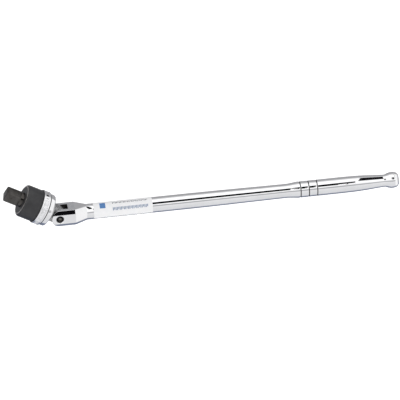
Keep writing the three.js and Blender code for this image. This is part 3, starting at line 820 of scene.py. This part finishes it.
BALL_SPRING_START, DETENT_SPRING_START, BALL_SPRING_LENGTH = -3.3, 7.3, 5.45
PAWL_SPRING_START, PAWL_SPRING_LENGTH = 12.4, 2.3
coil("plunger_spring_fine", 2.5, 11.4, 0.9, 7, Matrix.Translation((17.8, 0, 0)), BAR, "bar", "plunger_spring")
ball_spring = coil("socket_ball_spring_fine", 2.3, BALL_SPRING_LENGTH, 0.6, 5,
                   radial(*SOCKET_BALL, BALL_SPRING_START), HEAD, "drive", "socket_ball_spring")
detent_spring = coil("detent_spring_fine", 1.4, BALL_SPRING_LENGTH, 0.45, 4,
                     radial(*DETENT, DETENT_SPRING_START), HEAD, "head", "detent_spring")
forward_spring = coil("forward_pawl_spring_fine", 0.95, PAWL_SPRING_LENGTH, 0.35, 4,
                      radial(*FORWARD_PAWL, PAWL_SPRING_START), HEAD, "head", "forward_pawl_spring")
coil("reverse_pawl_spring_fine", 0.95, 1.5, 0.35, 4, radial(*REVERSE_PAWL, 13.2), HEAD, "head",
     "reverse_pawl_spring")


def squeeze(obj):
    """Gives a spring its own copy of its mesh."""
    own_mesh(obj)


squeeze(ball_spring)
squeeze(detent_spring)
# The forward pawl presses its spring outwards
squeeze(forward_spring)

for node in ("tongue_plunger", "pawl_plate", "forward_pawl", "reverse_pawl", "forward_pawl_pin",
             "reverse_pawl_pin", "selector_cam"):
    dress(node, TOOL)
for node in ("shift_pin_1", "shift_pin_2"):
    dress(node, OXIDE)
dress("drag_washer", WIRE)
dress("spindle_bush", BRONZE)

# ---- Floor, light and camera ------------------------------------------------------------------------

FLOOR_HALF = 3
FLOOR_DROP = 0.066  # clears the head when it hangs straight down


def floor():
    """A plain white ground that glows a little, and that the chrome doesn't reflect."""
    corners = [(x * FLOOR_HALF, y * FLOOR_HALF, -FLOOR_DROP) for x, y in ((-1, -1), (1, -1), (1, 1), (-1, 1))]
    obj = new_object("floor", corners, [(0, 1, 2, 3)])
    shader = Shader("floor_white", (0.92, 0.92, 0.92), 0.0, 0.9)
    shader.set("Emission Color", (1, 1, 1, 1))
    shader.set("Emission Strength", 0.4)
    obj.data.materials.append(shader.material)
    obj.visible_glossy = False


WHITE, DARK = (1.2, 1.2, 1.2), (0.008, 0.008, 0.01)
DARKEST = (0.004, 0.004, 0.005)
# Radiance round the bar: degrees up from the front horizon, over the top to the back and under
SKY = [(-180, (0.42, 0.42, 0.43)), (-150, (0.34, 0.35, 0.38)), (-130, (0.19, 0.22, 0.29)),
       (-94, (0.22, 0.25, 0.33)), (-82, (0.80, 0.81, 0.84)), (-40, (0.84, 0.845, 0.855)),
       (-12, (0.88, 0.88, 0.89)), (-2, (0.96, 0.96, 0.97)), (3, (0.50, 0.505, 0.52)),
       (14, (0.48, 0.485, 0.50)), (20, (0.85, 0.85, 0.86)), (24, WHITE), (33.5, WHITE), (35, DARKEST),
       (61.5, DARKEST), (63, (1.35, 1.35, 1.36)), (97, (1.4, 1.4, 1.4)), (106, (1.0, 1.0, 1.01)),
       (124, (0.62, 0.62, 0.63)), (131, (0.41, 0.41, 0.42)), (180, (0.42, 0.42, 0.43))]
# Panels and gaps of the light tent: along the bar from, to, then degrees up from, to, and radiance
PATCHES = [(-1, -0.04, 28, 63, WHITE), (0.19, 0.245, 28, 41, WHITE), (0.245, 1, 28, 63, WHITE),
           (0.26, 0.36, 62, 112, DARK), (0.2105, 0.2165, 29, 59, DARK)]
END_ON = (1.06, 1.06, 1.06)  # what shows where the reflection runs along the bar
FRONT_LOW, FRONT_HIGH = -95, 125  # the degrees up between which END_ON shows
GRIP_END = (0.55, 0.55, 0.56)  # and straight on past the grip


def studio():
    """The light tent, as the world's radiance. The camera itself sees plain white behind the tool."""
    world = bpy.data.worlds.new("studio")
    bpy.context.scene.world = world
    world.use_nodes = True
    nodes, links = world.node_tree.nodes, world.node_tree.links

    def math_node(operation, *values):
        node = nodes.new("ShaderNodeMath")
        node.operation = operation
        for socket, value in zip(node.inputs, values):
            if isinstance(value, (int, float)):
                socket.default_value = value
            else:
                links.new(value, socket)
        return node.outputs[0]

    def between(value, low, high):
        above, below = math_node("GREATER_THAN", value, low), math_node("LESS_THAN", value, high)
        return math_node("MULTIPLY", above, below)

    def step(value, low, high):
        node = nodes.new("ShaderNodeMapRange")
        node.interpolation_type = "SMOOTHSTEP"
        node.inputs["From Min"].default_value, node.inputs["From Max"].default_value = low, high
        links.new(value, node.inputs["Value"])
        return node.outputs["Result"]

    def blend(factor, a, b):
        node = nodes.new("ShaderNodeMix")
        node.data_type = "RGBA"
        links.new(factor, node.inputs["Factor"])
        for socket, colour in (("A", a), ("B", b)):
            if isinstance(colour, tuple):
                node.inputs[socket].default_value = (*colour, 1)
            else:
                links.new(colour, node.inputs[socket])
        return node.outputs["Result"]

    parts = nodes.new("ShaderNodeSeparateXYZ")
    links.new(nodes.new("ShaderNodeTexCoord").outputs["Generated"], parts.inputs[0])
    x, y, z = parts.outputs
    rise = math_node("ARCTAN2", z, math_node("MULTIPLY", y, -1.0))
    degrees = math_node("MULTIPLY", rise, 180 / math.pi)
    ramp = nodes.new("ShaderNodeValToRGB")
    fill_ramp(ramp, [((angle + 180) / 360, colour) for angle, colour in SKY])
    links.new(math_node("MULTIPLY_ADD", degrees, 1 / 360, 0.5), ramp.inputs["Fac"])
    room = ramp.outputs["Color"]
    for x_low, x_high, low, high, colour in PATCHES:
        inside = math_node("MULTIPLY", between(x, x_low, x_high), between(degrees, low, high))
        room = blend(inside, room, colour)
    front = between(degrees, FRONT_LOW, FRONT_HIGH)
    room = blend(math_node("MULTIPLY", step(x, 0.36, 0.6), front), room, END_ON)
    room = blend(step(x, 0.78, 0.9), room, GRIP_END)
    backdrop = blend(nodes.new("ShaderNodeLightPath").outputs["Is Camera Ray"], room, (1.0, 1.0, 1.0))
    links.new(backdrop, nodes["Background"].inputs["Color"])
    bpy.context.scene.view_settings.view_transform = "Standard"


def camera():
    """Above the front and a little towards the head, with a long lens and a small roll."""
    azimuth, elevation, roll = math.radians(-8.6), math.radians(27.432), math.radians(-1.982)
    distance, aim = 2.677124, pin + Vector((156.8246, -18.6653, 9.6239)) * MM
    reach = math.cos(elevation)
    back = Vector((math.sin(azimuth) * reach, -math.cos(azimuth) * reach, math.sin(elevation)))
    level = Vector((math.cos(azimuth), math.sin(azimuth), 0))
    upright = back.cross(level)
    right = level * math.cos(roll) + upright * math.sin(roll)
    up = back.cross(right)
    data = bpy.data.cameras.new("camera")
    data.lens, data.sensor_width, data.clip_end = 216, 36, 50
    obj = bpy.data.objects.new("camera", data)
    turn = Matrix((right, up, back)).transposed().to_4x4()
    obj.matrix_world = Matrix.Translation(aim + back * distance) @ turn
    bpy.context.scene.collection.objects.link(obj)
    bpy.context.scene.camera = obj


floor()
studio()
camera()
